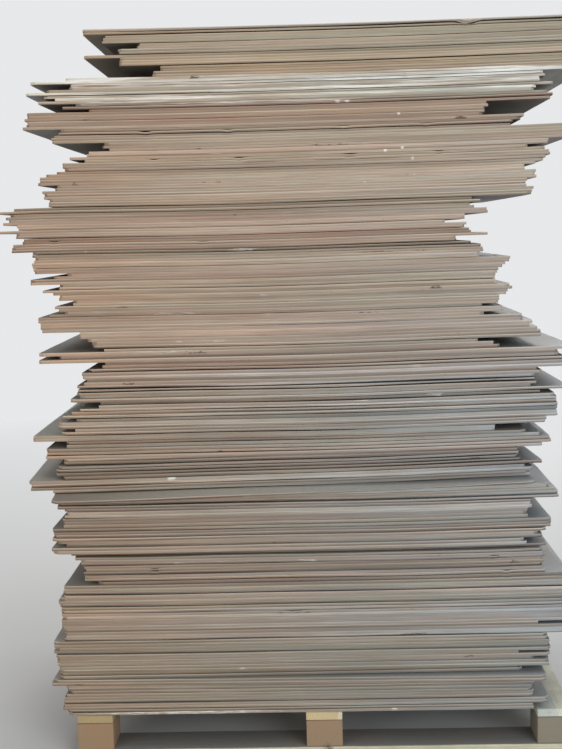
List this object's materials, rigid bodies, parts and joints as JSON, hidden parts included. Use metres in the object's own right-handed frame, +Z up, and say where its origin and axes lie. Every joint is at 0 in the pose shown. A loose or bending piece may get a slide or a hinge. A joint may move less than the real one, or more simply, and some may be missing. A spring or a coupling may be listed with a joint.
{
  "type": "stack of fibreboard sheets",
  "caption": "Tall ragged pile of thin medium-density fibreboard sheets lying loose on a light nine-block timber pallet.",
  "frame": {"origin": "middle of the pallet's underside, on the floor", "axes": "+X along the pallet's length, to the right as seen from the front; +Y from the front to the back; +Z up through the pile"},
  "size_m": [1.3862, 0.9512, 1.7269],
  "materials": {
    "fibreboard": "matte",
    "fibreboard_white": "matte",
    "pallet_timber": "matte",
    "block_timber": "matte"
  },
  "bodies": {
    "root": {"sheets_01": "fibreboard", "sheets_02": "fibreboard", "sheets_03": "fibreboard", "sheets_04": "fibreboard", "sheets_05": "fibreboard", "sheets_06": "fibreboard", "sheets_07": "fibreboard", "sheets_08": "fibreboard", "sheets_09": "fibreboard", "sheets_10": "fibreboard", "sheets_11": "fibreboard", "sheets_12": "fibreboard", "sheets_13": "fibreboard", "sheets_14": "fibreboard", "sheets_15": "fibreboard", "sheets_16": "fibreboard", "sheets_17": "fibreboard", "sheets_18": "fibreboard", "sheets_19": "fibreboard", "sheets_20": "fibreboard", "sheets_21": "fibreboard_white", "sheets_22": "fibreboard", "sheets_23": "fibreboard", "bottom_board_front": "pallet_timber", "block_front_left": "block_timber", "block_front_middle": "block_timber", "block_front_right": "block_timber", "bottom_board_centre": "pallet_timber", "block_centre_left": "block_timber", "block_centre_middle": "block_timber", "block_centre_right": "block_timber", "bottom_board_back": "pallet_timber", "block_back_left": "block_timber", "block_back_middle": "block_timber", "block_back_right": "block_timber", "runner_left": "pallet_timber", "runner_middle": "pallet_timber", "runner_right": "pallet_timber"}
  },
  "joints": []
}
